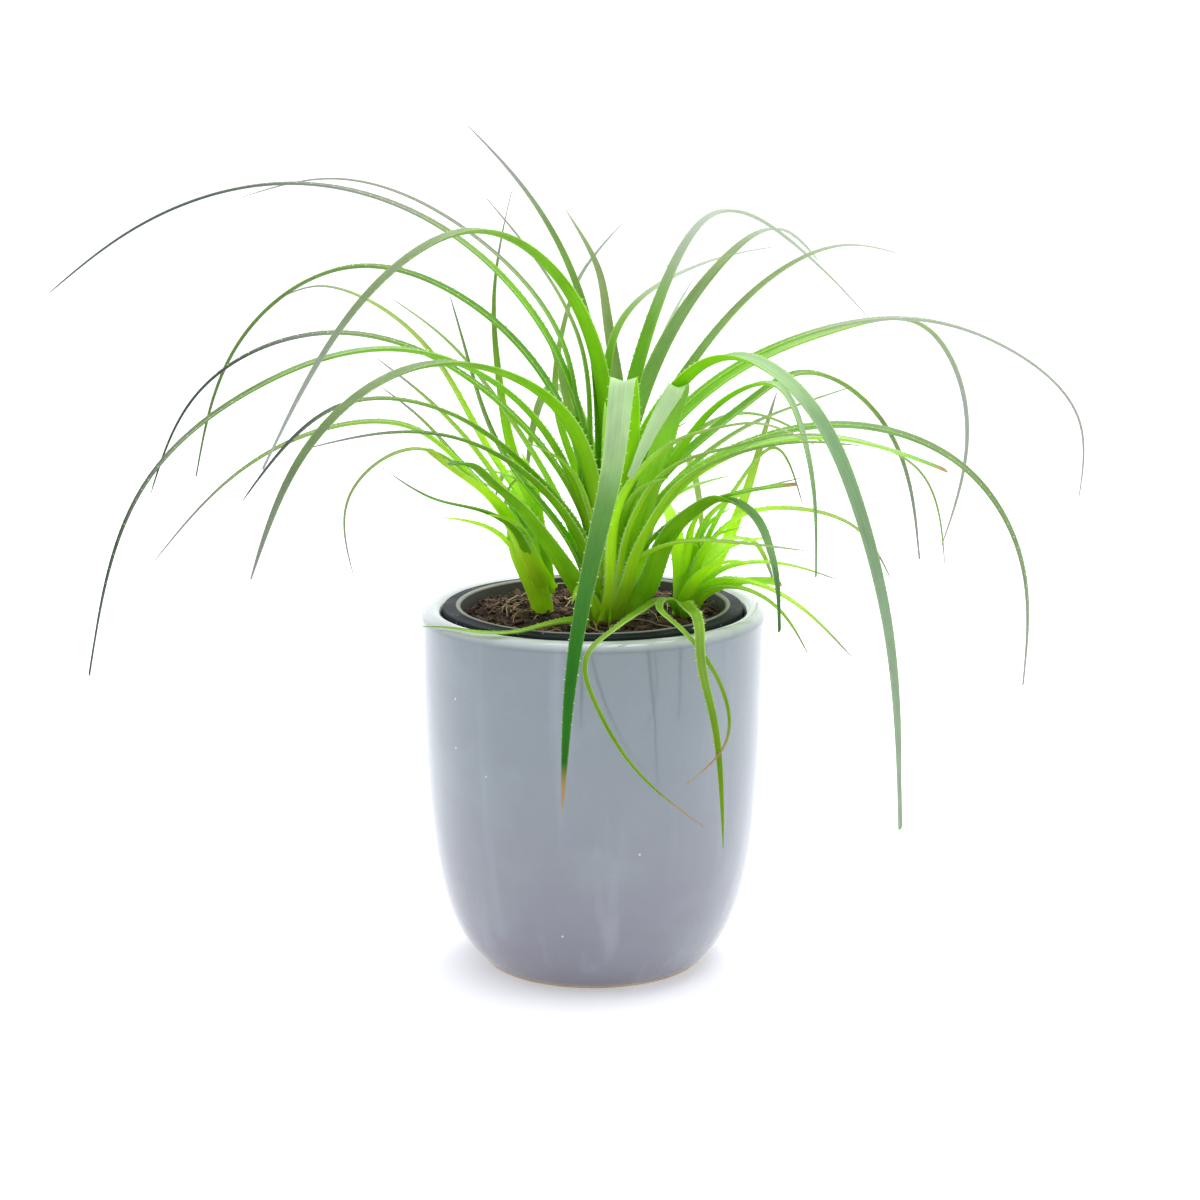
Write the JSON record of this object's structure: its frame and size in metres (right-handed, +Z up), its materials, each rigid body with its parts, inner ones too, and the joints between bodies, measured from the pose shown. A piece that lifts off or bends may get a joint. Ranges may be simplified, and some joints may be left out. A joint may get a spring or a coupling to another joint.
{
  "type": "potted agave",
  "caption": "Leafy agave with long arching toothed leaves and offsets, in a plastic nursery pot that stands in a round glazed ceramic pot.",
  "frame": {"origin": "centre of the ceramic pot's flat foot, on the surface that it stands on", "axes": "+Z up along the pots' shared axis, +X to the right as the plant is seen from the front, the way the longest leaves spread, and +Y to the back"},
  "size_m": [0.4374, 0.2815, 0.3489],
  "materials": {
    "glaze": "glossy blue-grey glaze, pale on the lip, unglazed foot ring",
    "nursery_plastic": "matt black plastic, worn grey on the rolled edge",
    "soil": "rough dark peat with bark and straw",
    "leaf": "waxy fresh green to grey-green, with a pale toothed edge"
  },
  "bodies": {
    "root": {"ceramic_pot": "glaze", "nursery_pot": "nursery_plastic", "soil": "soil", "main_rosette": "leaf", "left_offset": "leaf", "right_offset": "leaf"}
  },
  "joints": []
}
